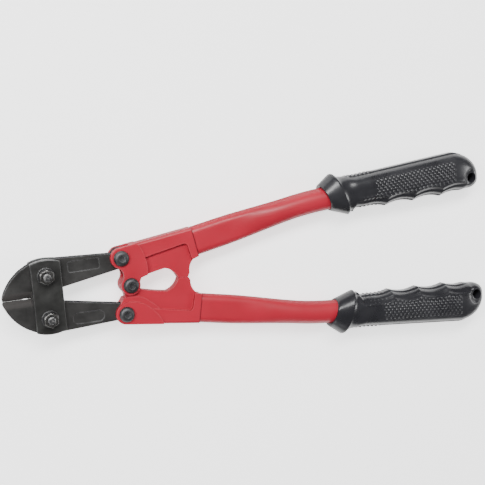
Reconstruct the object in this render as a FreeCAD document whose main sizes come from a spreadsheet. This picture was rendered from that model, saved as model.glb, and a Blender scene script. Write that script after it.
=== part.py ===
"""Bolt cutters: two jaws held by side plates, worked by two handles that share a centre bolt.

The tool lies flat. X runs along it (jaws towards -X, handles towards +X), Y runs across it and Z is
up. Every body is drawn about the centre bolt, with the mid-plane of the tool at Z = 0, and its
Placement then moves it so that the origin is under the middle of the whole tool, at the height of
the ends of the tail bolts, on which it rests.
"""
import FreeCAD, Part
import math
import os
import Sketcher
from FreeCAD import Placement, Rotation, Vector

SIZES = {
    # overall, measured from the centre bolt
    "tip_reach": 76.6,          # centre bolt to the tips of the blades
    "grip_end": 247.8,          # centre bolt to the ends of the grips
    # the four outer pivots of the linkage
    "jaw_bolt_x": 50.45,
    "jaw_bolt_y": 12.9,
    "tail_bolt_x": 4.4,
    "tail_bolt_y": 17.25,
    # layers through the thickness
    "jaw_thick": 6.0,
    "plate_thick": 3.0,
    "cheek_thick": 2.8,
    "web_thick": 5.9,
    "rim_thick": 10.0,
    "slide_gap": 0.05,          # between flats that slide on each other
    # jaws and side plates
    "edge_gap": 0.2,            # between the closed cutting edges
    "edge_land": 0.8,           # flat left along a cutting edge
    "bevel_width": 4.3,
    "blade_belly": 9.4,         # how far below the plate's edge the blade's arc has its middle
    "plate_front": 59.0,        # centre bolt to the front edge of the side plates
    "plate_back": 41.0,
    "plate_half": 22.5,         # half the height of a side plate at its middle
    "plate_crown": 1.8,         # how much lower its ends are
    "tail_eye": 6.2,            # radius of the jaw's tail around its bolt
    "swing_slot": 2.9,          # free travel of the open pivot, towards the middle
    "swing_drift": 0.3,         # how far that travel leans back
    "swing_gap": 0.2,           # clearance beside the bolt along that travel
    "label_length": 19.0,
    "label_height": 6.6,
    "label_depth": 0.4,
    "label_back": 22.6,         # tail bolt to the middle of the label
    # handle heads
    "cheek_round": 6.4,         # radius of a cheek around the tail bolt
    "ear_round": 5.9,           # radius of the ears and the tongue around the centre bolt
    "fork_gap": 0.5,            # beside what turns inside a fork
    "head_length": 42.9,        # centre bolt to the joint with the tube
    "joint_rise": 21.2,         # mid-line to the middle of that joint
    "lug_length": 6.4,          # flat on which the two handles stop
    "lug_back": 12.2,           # joint to the near end of that flat
    "rim_fillet": 1.9,
    "tang_end_gap": 0.5,        # end of the head's tang to where the tube starts to taper
    "tang_gap": 0.1,
    # tubes
    "tube_round": 15.0,
    "tube_flat_width": 18.5,
    "tube_flat_thick": 8.9,
    "tube_wall": 1.5,
    "tube_angle": 11.1,         # lean of a tube where it leaves the head
    "grip_angle": 5.0,          # lean of the run inside the grip
    "flat_run": 20.0,
    "bend_radius": 218.0,
    "tube_end_gap": 20.0,       # end of the tube to the end of the grip
    # grips, from the hand guard's rim to the end
    "guard_lead": 2.7,          # end of the tube's bend to the guard's rim
    "guard_depth": 10.6,        # rim to crest
    "guard_step": 4.75,         # crest to the neck behind it
    "guard_lean": 16.0,
    "neck_length": 16.7,        # neck to the first finger groove
    "finger_pitch": 20.75,
    "end_length": 19.85,        # last finger groove to the end
    # grips, walls outside the tube
    "sleeve_gap": 0.05,
    "rim_wall": 1.75,
    "crest_wall": 7.25,
    "crest_side_wall": 3.1,
    "back_wall": 3.95,
    "back_swell": 1.25,         # how much thicker the back is at the last groove
    "groove_wall": 2.45,
    "groove_swell": 2.8,
    "side_wall": 2.75,
    "finger_height": 1.7,
    "nose_drop": 8.2,           # tube's line to the foremost point of the end
    # hole to hang the tool by
    "hang_hole": 6.0,
    "hang_wall": 12.4,
    "hang_inset": 7.9,
    "hang_drop": 6.5,
    # fasteners
    "bolt_round": 5.0,
    "bolt_gap": 0.05,           # running clearance around a bolt, on the radius
    "head_round": 9.5,
    "head_high": 2.75,
    "dome_fillet": 2.475,
    "socket_flats": 3.0,
    "socket_deep": 1.6,
    "nut_flats": 8.0,
    "nut_high": 4.7,
    "nut_chamfer": 0.45,
    "washer_round": 10.4,
    "washer_thick": 1.0,
    "bolt_tail": 0.8,           # thread that stands out of a nut
    "edge_break": 0.4,          # chamfer on the edges of the plates and cheeks
}

doc = FreeCAD.newDocument("bolt_cutters")
sheet = doc.addObject("Spreadsheet::Sheet", "Sizes")
for row, (alias, value) in enumerate(SIZES.items(), start=1):
    sheet.set("A%d" % row, alias)
    sheet.set("B%d" % row, str(value))
    sheet.setAlias("B%d" % row, alias)
doc.recompute()


def size(alias):
    return float(sheet.get(alias))


def turned(radius, degrees, centre=(0.0, 0.0)):
    """The point at this angle on a circle."""
    angle = math.radians(degrees)
    return (centre[0] + radius * math.cos(angle), centre[1] + radius * math.sin(angle))


JAW_BOLT = (-size("jaw_bolt_x"), size("jaw_bolt_y"))
TAIL_BOLT = (-size("tail_bolt_x"), size("tail_bolt_y"))
JOINT = (size("head_length"), size("joint_rise"))
JAW_FACE = size("jaw_thick") / 2
PLATE_FACE = JAW_FACE + size("slide_gap") + size("plate_thick")
CHEEK_FACE = JAW_FACE + size("slide_gap") + size("cheek_thick")
SLEEVE_BORE = size("tube_round") / 2 + size("sleeve_gap")
PLATE_FACE_TEXT = "(Sizes.jaw_thick / 2 + Sizes.slide_gap + Sizes.plate_thick)"
CHEEK_FACE_TEXT = "(Sizes.jaw_thick / 2 + Sizes.slide_gap + Sizes.cheek_thick)"
SLOT_TEXT = "(Sizes.jaw_thick + 2 * Sizes.slide_gap)"
NUT_STACK_TEXT = "(Sizes.nut_high + Sizes.bolt_tail)"
GRIP_LENGTH_TEXT = ("(Sizes.guard_depth + Sizes.guard_step + Sizes.neck_length"
                    " + 3 * Sizes.finger_pitch + Sizes.end_length)")


# ---------------------------------------------------------------- helpers

def new_body(name):
    """A named body, drawn about the centre bolt and moved to the tool's own frame."""
    body = doc.addObject("PartDesign::Body", name)
    body.Label = name
    body.setExpression("Placement.Base.x", "(Sizes.tip_reach - Sizes.grip_end) / 2")
    body.setExpression("Placement.Base.z", CHEEK_FACE_TEXT + " + " + NUT_STACK_TEXT)
    return body


def plane_of(body, role):
    return next(part for part in body.Origin.OriginFeatures if part.Role == role)


def new_sketch(body, name, role="XY_Plane", place=None, lift=None):
    """A sketch on one of the body's own planes, moved by a placement or lifted by an expression."""
    sketch = body.newObject("Sketcher::SketchObject", name)
    sketch.AttachmentSupport = [(plane_of(body, role), "")]
    sketch.MapMode = "FlatFace"
    if place is not None:
        sketch.AttachmentOffset = place
    if lift is not None:
        sketch.setExpression("AttachmentOffset.Base.z", lift)
    return sketch


def across(x, y, degrees):
    """A placement for a sketch on the YZ plane that faces along the tool, leaning in the flat."""
    return Placement(Vector(y, 0, x), Rotation(Vector(0, 1, 0), degrees))


def draw(sketch, start, *steps):
    """A closed outline: a step of one point is a line, and a step of two is an arc."""
    here = start
    for step in steps:
        ends = [Vector(x, y, 0) for x, y in (here,) + step]
        if len(step) == 1:
            sketch.addGeometry(Part.LineSegment(ends[0], ends[1]))
            here = step[0]
        else:
            sketch.addGeometry(Part.Arc(ends[0], ends[1], ends[2]))
            here = step[1]


def circle(sketch, x, y, radius):
    """A circle whose place and radius are expressions on the sheet."""
    index = sketch.addGeometry(Part.Circle(Vector(1, 1, 0), Vector(0, 0, 1), 1))
    for kind, points, text in (("DistanceX", (-1, 1, index, 3), x),
                               ("DistanceY", (-1, 1, index, 3), y)):
        number = sketch.addConstraint(Sketcher.Constraint(kind, *points, 1.0))
        sketch.setExpression("Constraints[%d]" % number, text)
    number = sketch.addConstraint(Sketcher.Constraint("Radius", index, 1.0))
    sketch.setExpression("Constraints[%d]" % number, radius)


def ellipse(sketch, half_wide, half_thick):
    """An ellipse about the sketch's origin, wider than it is thick."""
    ends = (Vector(half_wide, 0, 0), Vector(0, half_thick, 0))
    sketch.addGeometry(Part.Ellipse(*ends, Vector(0, 0, 0)))


def capsule(sketch, half_wide, half_thick):
    """A flattened tube's section: two flats and two rounds."""
    flat = half_wide - half_thick
    draw(sketch, (-flat, half_thick), ((flat, half_thick),),
         ((half_wide, 0), (flat, -half_thick)), ((-flat, -half_thick),),
         ((-half_wide, 0), (-flat, half_thick)))


def round_section(sketch, radius):
    """A round tube's section in four arcs, to match the flattened one."""
    corners = [turned(radius, degrees) for degrees in (135, 45, -45, -135, 135)]
    middles = [turned(radius, degrees) for degrees in (90, 0, -90, 180)]
    draw(sketch, corners[0], *zip(middles, corners[1:]))


def add(body, kind, name, **values):
    """A feature in the body, with its properties set."""
    feature = body.newObject("PartDesign::" + kind, name)
    for key, value in values.items():
        setattr(feature, key, value)
    return feature


def settle(feature):
    """Recompute, and stop if the feature failed."""
    doc.recompute()
    if "Invalid" in feature.State or "Error" in feature.State or feature.Shape.isNull():
        raise RuntimeError("%s failed: %s" % (feature.Name, feature.getStatusString()))
    return feature


def pad(body, sketch, name, length, both_ways=False, reverse=False):
    feature = add(body, "Pad", name, Profile=sketch, Midplane=both_ways, Reversed=reverse)
    feature.setExpression("Length", length)
    return settle(feature)


def cut(body, sketch, name, length=None, both_ways=False, reverse=False):
    """A pocket, which must take something away."""
    before = body.Shape.Volume
    feature = add(body, "Pocket", name, Profile=sketch, Midplane=both_ways, Reversed=reverse)
    if length is None:
        feature.Type = 1
        feature.Midplane = True
    else:
        feature.setExpression("Length", length)
    settle(feature)
    if body.Shape.Volume > before - 1e-3:
        raise RuntimeError("%s of %s cuts nothing" % (name, body.Label))
    return feature


def soften(body, kind, name, amount, wanted, key):
    """A fillet or chamfer on every edge of the body for which wanted(edge) is true."""
    base = body.Tip
    names = ["Edge%d" % (i + 1) for i, edge in enumerate(base.Shape.Edges) if wanted(edge)]
    if not names:
        raise RuntimeError("%s of %s finds no edge" % (name, body.Label))
    feature = add(body, kind, name, Base=(base, names))
    feature.setExpression(key, amount)
    return settle(feature)


def at_height(edge, level, near=1e-3):
    """Whether an edge lies flat at this height on either side of the mid-plane."""
    box = edge.BoundBox
    return abs(box.ZMax - box.ZMin) < near and abs(abs(box.ZMin) - level) < near


def local_edges(level, test):
    """A test for edges at a level whose middle, in the body's own drawing frame, passes."""
    def wanted(edge):
        if not at_height(edge, level):
            return False
        middle = edge.valueAt((edge.FirstParameter + edge.LastParameter) / 2)
        return test(middle.x, middle.y)
    return wanted


# ---------------------------------------------------------------- jaws and side plates

TAIL_UNDERSIDE = -79.8          # where a jaw's lower edge leaves its eye, in degrees



def jaw(name, side):
    """A forged jaw: blade, hub between the side plates, and a tail that ends in an eye."""
    def at(x, y):
        return (x, side * y)

    def eye(degrees):
        x, y = turned(size("tail_eye"), degrees, TAIL_BOLT)
        return at(x, y)

    body = new_body(name)
    tip = -size("tip_reach")
    edge = size("edge_gap") / 2
    front = -size("plate_front")
    back = -size("plate_back")
    top = size("plate_half")
    notch = front - 2.2
    belly = (tip + 0.392 * (front - tip), top - size("blade_belly"))
    blank = new_sketch(body, name + "_outline")
    draw(blank, at(tip + 0.3, edge), (at(tip, 1.6),),
         (at(*belly), at(front, top - 2.1)),
         (at(JAW_BOLT[0] - 0.5, top), at(back - 2, top - 0.3)),
         (eye(147),), (eye(30), eye(TAIL_UNDERSIDE)),
         (at(back + 0.7, 4.5),), (at(JAW_BOLT[0] - 3, edge),), (at(notch, edge),),
         (at(notch - 2, edge + 0.3), at(notch - 4, edge)), (at(tip + 0.3, edge),))
    pad(body, blank, name + "_blank", "Sizes.jaw_thick", both_ways=True)
    bevel_jaw(body, name, side)
    label(body, name, side)
    holes = new_sketch(body, name + "_holes")
    circle(holes, "-Sizes.tail_bolt_x", "%d * Sizes.tail_bolt_y" % side,
           "Sizes.bolt_round / 2 + Sizes.bolt_gap")
    if side > 0:
        circle(holes, "-Sizes.jaw_bolt_x", "Sizes.jaw_bolt_y",
               "Sizes.bolt_round / 2 + Sizes.bolt_gap")
    else:
        slot_hole(holes)
    cut(body, holes, name + "_bolt_holes")
    return body


def slot_hole(sketch):
    """The open pivot: a hole drawn out towards the mid-line by the free travel."""
    radius = size("bolt_round") / 2 + size("swing_gap")
    low = (JAW_BOLT[0], -JAW_BOLT[1])
    high = (low[0] + size("swing_drift"), low[1] + size("swing_slot"))
    lean = math.degrees(math.atan2(size("swing_slot"), size("swing_drift")))
    start = turned(radius, lean + 90, low)
    draw(sketch, start, (turned(radius, lean + 180, low), turned(radius, lean - 90, low)),
         (turned(radius, lean - 90, high),),
         (turned(radius, lean, high), turned(radius, lean + 90, high)), (start,))


def bevel_jaw(body, name, side):
    """Grind both faces of the blade down to the land along its cutting edge."""
    clear = 1.0
    start = -size("tip_reach") - clear
    for face, word in ((1, "front"), (-1, "back")):
        grind = new_sketch(body, "%s_%s_grind" % (name, word), "YZ_Plane",
                           Placement(Vector(0, 0, start), Rotation()))
        low = -side * clear
        high = side * (size("edge_gap") / 2 + size("bevel_width"))
        land = face * size("edge_land") / 2
        level = face * JAW_FACE
        above = level + face * clear
        draw(grind, (low, land), ((side * size("edge_gap") / 2, land),), ((high, level),),
             ((high, above),), ((low, above),), ((low, land),))
        cut(body, grind, "%s_%s_bevel" % (name, word),
            "Sizes.tip_reach - Sizes.plate_front + %g" % (clear / 2), reverse=True)


def label(body, name, side):
    """The shallow panel on the tail: square-cornered on one jaw, round-ended on the other."""
    panel = new_sketch(body, name + "_panel", lift="Sizes.jaw_thick / 2")
    share = size("label_back") / (size("jaw_bolt_x") - size("tail_bolt_x"))
    middle = (-size("tail_bolt_x") - size("label_back"),
              side * (size("tail_bolt_y") * (1 - share) + (size("plate_half") / 2 + 3.3) * share))
    half = size("label_length") / 2
    rise = size("label_height") / 2
    corner = 1.2 if side > 0 else rise - 0.2
    lean = Rotation(Vector(0, 0, 1), side * 0.8)
    inner = (half - corner, rise - corner)
    steps = []
    for turn, (sx, sy) in zip((0, 90, 180, 270), ((1, 1), (-1, 1), (-1, -1), (1, -1))):
        centre = (sx * inner[0], sy * inner[1])
        steps.append([turned(corner, turn + more, centre) for more in (0, 45, 90)])
    place = [[(middle[0] + v.x, middle[1] + v.y)
              for v in (lean.multVec(Vector(x, y, 0)) for x, y in step)] for step in steps]
    path = []
    for step in place[1:] + place[:1]:
        path.append((step[0],))
        path.append((step[1], step[2]))
    draw(panel, place[0][2], *path)
    cut(body, panel, name + "_label", "Sizes.label_depth")


def side_plate(name, face):
    """A strap over both jaw bolts, in front of the jaws or behind them."""
    body = new_body(name)
    top = size("plate_half")
    end = top - size("plate_crown")
    front = -size("plate_front")
    back = -size("plate_back")
    lift = "%d * (Sizes.jaw_thick / 2 + Sizes.slide_gap)" % face
    strap = new_sketch(body, name + "_outline", lift=lift)
    draw(strap, (front, -end), ((front, end),), ((JAW_BOLT[0], top), (back, end)),
         ((back, -end),), ((JAW_BOLT[0], -top), (front, -end)))
    pad(body, strap, name + "_blank", "Sizes.plate_thick", reverse=face < 0)
    holes = new_sketch(body, name + "_holes")
    for side in (1, -1):
        circle(holes, "-Sizes.jaw_bolt_x", "%d * Sizes.jaw_bolt_y" % side,
               "Sizes.bolt_round / 2 + Sizes.bolt_gap")
    cut(body, holes, name + "_bolt_holes")
    near_hole = size("bolt_round")
    soften(body, "Chamfer", name + "_edge", "Sizes.edge_break",
           local_edges(PLATE_FACE, lambda x, y: math.hypot(x - JAW_BOLT[0], abs(y) - JAW_BOLT[1])
                       > near_hole), "Size")
    return body


# ---------------------------------------------------------------- handle heads

def outer_line(x):
    """Height of a head's straight outer edge at x, from the tail bolt's round to the tube."""
    left = turned(size("cheek_round"), 98, TAIL_BOLT)
    right = turned(size("tube_flat_width") / 2, 90 + size("tube_angle"), JOINT)
    return left[1] + (right[1] - left[1]) * (x - left[0]) / (right[0] - left[0])


def head_edges(side):
    """The points that a head's outlines share, for the upper (1) or lower (-1) handle."""
    def at(point):
        return (point[0], side * point[1])

    half = size("tube_flat_width") / 2
    tail = size("cheek_round")
    ear = size("ear_round")
    return {
        "joint_out": at(turned(half, 90 + size("tube_angle"), JOINT)),
        "joint_in": at(turned(half, size("tube_angle") - 90, JOINT)),
        "tail_top": at(turned(tail, 98, TAIL_BOLT)),
        "tail_side": at(turned(tail, 170, TAIL_BOLT)),
        "tail_low": at(turned(tail, 237, TAIL_BOLT)),
        "neck": at((TAIL_BOLT[0] + 0.7, ear + 1.0)),
        "ear_high": at(turned(ear, 150)),
        "ear_low": at(turned(ear, 262)),
        "ear_right": at(turned(ear, 15)),
        "throat": at((ear + 0.9, 3.9)),
    }


def head_web(body, name, side):
    """The flat web in the middle of a head, with the stop lug below it."""
    edges = head_edges(side)
    stop = size("edge_gap") / 2
    near = JOINT[0] - size("lug_back")
    far = near + size("lug_length")
    lean = math.radians(size("tube_angle"))
    collar = 1.5
    collar_in = (edges["joint_in"][0] - collar * math.cos(lean),
                 edges["joint_in"][1] - side * collar * math.sin(lean))

    def at(x, y):
        return (x, side * y)

    web = new_sketch(body, name + "_web_outline")
    draw(web, edges["joint_out"], (edges["tail_top"],), (edges["tail_side"], edges["tail_low"]),
         (edges["neck"], edges["ear_high"]), (edges["ear_low"], edges["ear_right"]),
         (edges["throat"],), (at(near - 15.2, 5.95), at(near - 8.2, 7.25)),
         (at(near - 3.0, 4.7), at(near, stop)), (at(far, stop),), (at(far + 1.2, 2.4),),
         (at(far + 1.9, 7.2), collar_in), (edges["joint_in"],), (edges["joint_out"],))
    pad(body, web, name + "_web", "Sizes.web_thick", both_ways=True)


def head_rim(body, name, side):
    """The raised rim along the outer edge and the collar at the tube."""
    edges = head_edges(side)

    def at(x, y):
        return (x, side * y)

    def from_joint(x, y):
        return at(JOINT[0] + x, JOINT[1] + y)

    rim = new_sketch(body, name + "_rim_outline")
    draw(rim, edges["joint_out"], (at(0, outer_line(0)),), (at(6, outer_line(6) - 10.0),),
         (at(11.7, outer_line(11.7) - 9.8),), (from_joint(-8.3, -0.2),),
         (from_joint(-6.0, -0.3), from_joint(-4.9, -2.0)), (from_joint(-2.7, -10.6),),
         (edges["joint_in"],), (edges["joint_out"],))
    pad(body, rim, name + "_rim", "Sizes.rim_thick", both_ways=True)


def head_reach():
    """A left edge, a top and a bottom that are clear of a head's cheeks."""
    clear = size("cheek_round") + 5
    return TAIL_BOLT[0] - clear, TAIL_BOLT[1] + clear, -size("ear_round") - 3


def upper_head():
    """The forked head: two cheeks that straddle the jaw's tail and the other head's tongue."""
    name = "upper_handle_head"
    body = new_body(name)
    edges = head_edges(1)
    head_rim(body, name, 1)
    head_web(body, name, 1)
    cheek = new_sketch(body, name + "_cheek_outline")
    end = (6.2, outer_line(6.2))
    draw(cheek, end, (edges["tail_top"],), (edges["tail_side"], edges["tail_low"]),
         (edges["neck"], edges["ear_high"]), (edges["ear_low"], edges["ear_right"]),
         (edges["throat"],), ((edges["throat"][0] + 4.2, edges["throat"][1] + 1.25),),
         ((end[0] + 4.4, end[1] - 10.2), end))
    pad(body, cheek, name + "_cheeks", "2 * " + CHEEK_FACE_TEXT, both_ways=True)
    fork = new_sketch(body, name + "_fork_outline")
    gap = size("fork_gap")
    wide = size("tail_eye") + gap
    right = size("ear_round") + gap
    left, top, bottom = head_reach()
    draw(fork, (left, top), ((TAIL_BOLT[0] + wide - 1, top),), ((TAIL_BOLT[0] + wide, TAIL_BOLT[1]),),
         ((right, 0),), ((right, bottom),), ((left, bottom),), ((left, top),))
    cut(body, fork, name + "_fork", SLOT_TEXT, both_ways=True)
    finish_head(body, name, 1)
    return body


def lower_head():
    """The tongued head: its web is the tongue at the centre bolt, and it is forked at the tail."""
    name = "lower_handle_head"
    body = new_body(name)
    edges = head_edges(-1)
    head_rim(body, name, -1)
    head_web(body, name, -1)
    under_ear = TAIL_BOLT[1] - size("ear_round")
    lower_cheek(body, name + "_step", 26.0,
                ((-0.5, under_ear - 1.7), (9.0, under_ear - 1.9), (16.1, 5.05), (21.8, -0.65)),
                "(Sizes.web_thick / 2 + %s)" % CHEEK_FACE_TEXT)
    lower_cheek(body, name + "_cheeks", 22.8, ((-0.5, 6.85), (8.2, 6.25), (15.4, 1.55), (19.6, -3.15)),
                "2 * " + CHEEK_FACE_TEXT)
    fork = new_sketch(body, name + "_fork_outline")
    wide = size("tail_eye") + size("fork_gap")
    low = turned(wide, TAIL_UNDERSIDE, TAIL_BOLT)
    corner = turned(wide, -50, TAIL_BOLT)
    left, top, _ = head_reach()
    opening = (low[0] - left) * 0.18
    draw(fork, (left, -top), ((TAIL_BOLT[0] + wide - 1, -top),), ((TAIL_BOLT[0] + wide, -TAIL_BOLT[1]),),
         ((corner[0], -corner[1]), (low[0], -low[1])), ((left, opening - low[1]),), ((left, -top),))
    cut(body, fork, name + "_fork", SLOT_TEXT, both_ways=True)
    finish_head(body, name, -1)
    return body


def lower_cheek(body, name, right, inner, thickness):
    """One level of the lower head's cheek, reaching along its outer edge as far as right.

    inner holds the four points of its inner edge: the neck, then two arcs that meet at the third.
    All of them, and right, are measured from the tail bolt, towards the tube and the mid-line.
    """
    edges = head_edges(-1)
    x = TAIL_BOLT[0] + right
    end = (x, -outer_line(x))
    neck, first, middle, last = [(TAIL_BOLT[0] + x, y - TAIL_BOLT[1]) for x, y in inner]
    outline = new_sketch(body, name + "_outline")
    draw(outline, end, (edges["tail_top"],), (edges["tail_side"], edges["tail_low"]),
         (neck,), (first, middle), (last, end))
    pad(body, outline, name, thickness, both_ways=True)


def finish_head(body, name, side):
    """The tang inside the tube and the two bolt holes."""
    soften(body, "Fillet", name + "_rim_round", "Sizes.rim_fillet",
           local_edges(size("rim_thick") / 2, lambda x, y: abs(abs(y) - outer_line(x)) < 0.05),
           "Radius")
    root = 2.0                  # how far inside the head the tang begins
    start = (JOINT[0] - root, JOINT[1] - root * math.tan(math.radians(size("tube_angle"))))
    tang = new_sketch(body, name + "_tang_section", "YZ_Plane",
                      across(start[0], side * start[1], side * size("tube_angle")))
    inside = size("tube_wall") + size("tang_gap")
    capsule(tang, size("tube_flat_width") / 2 - inside, size("tube_flat_thick") / 2 - inside)
    pad(body, tang, name + "_tang", "Sizes.flat_run - Sizes.tang_end_gap + %g" % root)
    holes = new_sketch(body, name + "_holes")
    circle(holes, "0 * Sizes.tail_bolt_x", "0 * Sizes.tail_bolt_y",
           "Sizes.bolt_round / 2 + Sizes.bolt_gap")
    circle(holes, "-Sizes.tail_bolt_x", "%d * Sizes.tail_bolt_y" % side,
           "Sizes.bolt_round / 2 + Sizes.bolt_gap")
    cut(body, holes, name + "_bolt_holes")
    left_of = -size("tail_bolt_x") - size("bolt_round") / 2 - 0.5
    soften(body, "Chamfer", name + "_cheek_edge", "Sizes.edge_break",
           local_edges(CHEEK_FACE, lambda x, y: x < left_of), "Size")


# ---------------------------------------------------------------- tubes and grips

def rim_x():
    """Where the rim of a hand guard lies along the tool."""
    length = size("guard_depth") + size("guard_step") + size("neck_length") + size("end_length")
    return size("grip_end") - length - 3 * size("finger_pitch")


def straight_run():
    """Length of a tube's first straight, so that its bend ends just ahead of the hand guard."""
    first = math.radians(size("tube_angle"))
    last = math.radians(size("grip_angle"))
    bend = size("bend_radius") * (math.sin(first) - math.sin(last))
    return (rim_x() - size("guard_lead") - bend - JOINT[0]) / math.cos(first)


def bend_run():
    return size("bend_radius") * math.radians(size("tube_angle") - size("grip_angle"))


def along(distance):
    """The point and lean of a tube's axis at a distance from the head: straight, bend, straight."""
    first = math.radians(size("tube_angle"))
    last = math.radians(size("grip_angle"))
    straight = straight_run()
    bend = bend_run()
    x = JOINT[0] + min(distance, straight) * math.cos(first)
    y = JOINT[1] + min(distance, straight) * math.sin(first)
    lean = first
    if distance > straight:
        turn = min(distance - straight, bend) / size("bend_radius")
        lean = first - turn
        x += size("bend_radius") * (math.sin(first) - math.sin(lean))
        y += size("bend_radius") * (math.cos(lean) - math.cos(first))
    if distance > straight + bend:
        x += (distance - straight - bend) * math.cos(last)
        y += (distance - straight - bend) * math.sin(last)
    return x, y, math.degrees(lean)


def distance_at(x):
    """Distance along a tube's axis to this place on its last run."""
    run = straight_run() + bend_run()
    return run + (x - along(run)[0]) / math.cos(math.radians(size("grip_angle")))


def height_at(x):
    """Height of the last run's line at x, also past the end of the tube and ahead of the bend."""
    start_x, start_y, lean = along(straight_run() + bend_run())
    return start_y + (x - start_x) * math.tan(math.radians(lean))


def tube_stage(body, name, side, inset, kind):
    """One surface of a tube: flattened run, taper, bend and round run, added or taken away."""
    half_wide = size("tube_flat_width") / 2 - inset
    half_thick = size("tube_flat_thick") / 2 - inset
    radius = size("tube_round") / 2 - inset
    over = inset and 1.0
    stations = (("start", -over), ("flat", size("flat_run")), ("round", straight_run()))
    sections = []
    for word, distance in stations:
        x, y, lean = along(distance)
        section = new_sketch(body, "%s_%s" % (name, word), "YZ_Plane",
                             across(x, side * y, side * lean))
        if word == "round":
            round_section(section, radius)
        else:
            capsule(section, half_wide, half_thick)
        sections.append(section)
    for first, last in zip(sections, sections[1:]):
        add(body, kind + "Loft", "%s_%s" % (first.Name, kind.lower()), Profile=first,
            Sections=[last], Ruled=True)
        doc.recompute()
    path = new_sketch(body, name + "_path")
    stops = [straight_run() + share * bend_run() for share in (0, 0.5, 1)]
    stops.append(distance_at(size("grip_end") - size("tube_end_gap") + over))
    ends = [Vector(x, side * y, 0) for x, y, _ in map(along, stops)]
    path.addGeometry(Part.Arc(ends[0], ends[1], ends[2]))
    path.addGeometry(Part.LineSegment(ends[2], ends[3]))
    add(body, kind + "Pipe", name + "_bend", Profile=sections[2], Spine=(path, ["Edge1", "Edge2"]))
    doc.recompute()


def tube(name, side):
    """A steel tube, flattened over the head's tang and round under the grip."""
    body = new_body(name)
    tube_stage(body, name + "_outside", side, 0, "Additive")
    tube_stage(body, name + "_inside", side, size("tube_wall"), "Subtractive")
    return body


def grip_section(body, name, side, x, outer, inner, half_thick):
    """An ellipse across the grip, from its outer edge to its inner edge."""
    section = new_sketch(body, name, "YZ_Plane", across(x, side * (outer + inner) / 2, 0))
    ellipse(section, (outer - inner) / 2, half_thick)
    return section


def grip(name, side):
    """A dipped sleeve with a hand guard, finger bumps inside the curve and a hole to hang it by."""
    body = new_body(name)
    guard = guard_sections(body, name, side)
    for first, last, word in zip(guard, guard[1:], ("cone", "step")):
        add(body, "AdditiveLoft", "%s_guard_%s" % (name, word), Profile=first, Sections=[last],
            Ruled=True)
        doc.recompute()
    sections = [grip_section(body, "%s_section_%d" % (name, number), side, *values)
                for number, values in enumerate(grip_profile())]
    add(body, "AdditiveLoft", name + "_sleeve", Profile=guard[2], Sections=sections)
    doc.recompute()
    grip_bore(body, name, side)
    hang_hole(body, name, side)
    return body


def grip_bore(body, name, side):
    """The blind bore for the tube, cut from its closed end out through the guard."""
    bottom_gap = 0.3
    x, y, lean = along(distance_at(size("grip_end") - size("tube_end_gap") + bottom_gap))
    bore = new_sketch(body, name + "_bore_section", "YZ_Plane", across(x, side * y, side * lean))
    circle(bore, "0 * Sizes.tube_round", "0 * Sizes.tube_round",
           "Sizes.tube_round / 2 + Sizes.sleeve_gap")
    cut(body, bore, name + "_bore", GRIP_LENGTH_TEXT)


def hang_hole(body, name, side):
    """A hole through the end of the grip, with a flat seat around it on either face."""
    seat_edge = 0.6
    end = size("grip_end")
    lean = Rotation(Vector(0, 0, 1), side * size("grip_angle"))
    place = Placement(Vector(end, side * height_at(end), 0), lean)
    middle = ("-Sizes.hang_inset", "%d * Sizes.hang_drop" % -side)
    hole = new_sketch(body, name + "_hang_hole_circle", place=place)
    circle(hole, *middle, "Sizes.hang_hole / 2")
    cut(body, hole, name + "_hang_hole")
    for face, word in ((1, "front"), (-1, "back")):
        seat = new_sketch(body, "%s_seat_%s" % (name, word), place=place,
                          lift="%d * Sizes.hang_wall / 2" % face)
        circle(seat, *middle, "Sizes.hang_hole / 2 + %g" % seat_edge)
        cut(body, seat, seat.Name + "_face", "Sizes.crest_wall", reverse=face > 0)


def guard_sections(body, name, side):
    """The guard's rim at the tube, its crest, and the grip's neck behind it."""
    neck_wall = (size("back_wall") + size("groove_wall")) / 2
    neck_flare = 1.05           # how much the neck spreads where it meets the guard
    crest = rim_x() + size("guard_depth")
    lean = size("grip_angle") + size("guard_lean")
    stations = (
        # place along the tool, offset away from the middle, lean, wall in the flat, wall on the faces
        (rim_x(), 0.55, lean, size("rim_wall"), size("rim_wall")),
        (crest, 0.9, lean, size("crest_wall"), size("crest_side_wall")),
        (crest + size("guard_step"), 0.2, (lean + size("grip_angle")) / 2,
         neck_wall + neck_flare, size("side_wall") - 0.3))
    sections = []
    for number, (x, out, tilt, wall, side_wall) in enumerate(stations):
        section = new_sketch(body, "%s_guard_%d" % (name, number), "YZ_Plane",
                             across(x, side * (height_at(x) + out), side * tilt))
        round_rim = 0.001 if wall == side_wall else 0
        ellipse(section, SLEEVE_BORE + wall + round_rim, SLEEVE_BORE + side_wall)
        sections.append(section)
    return sections


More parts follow.
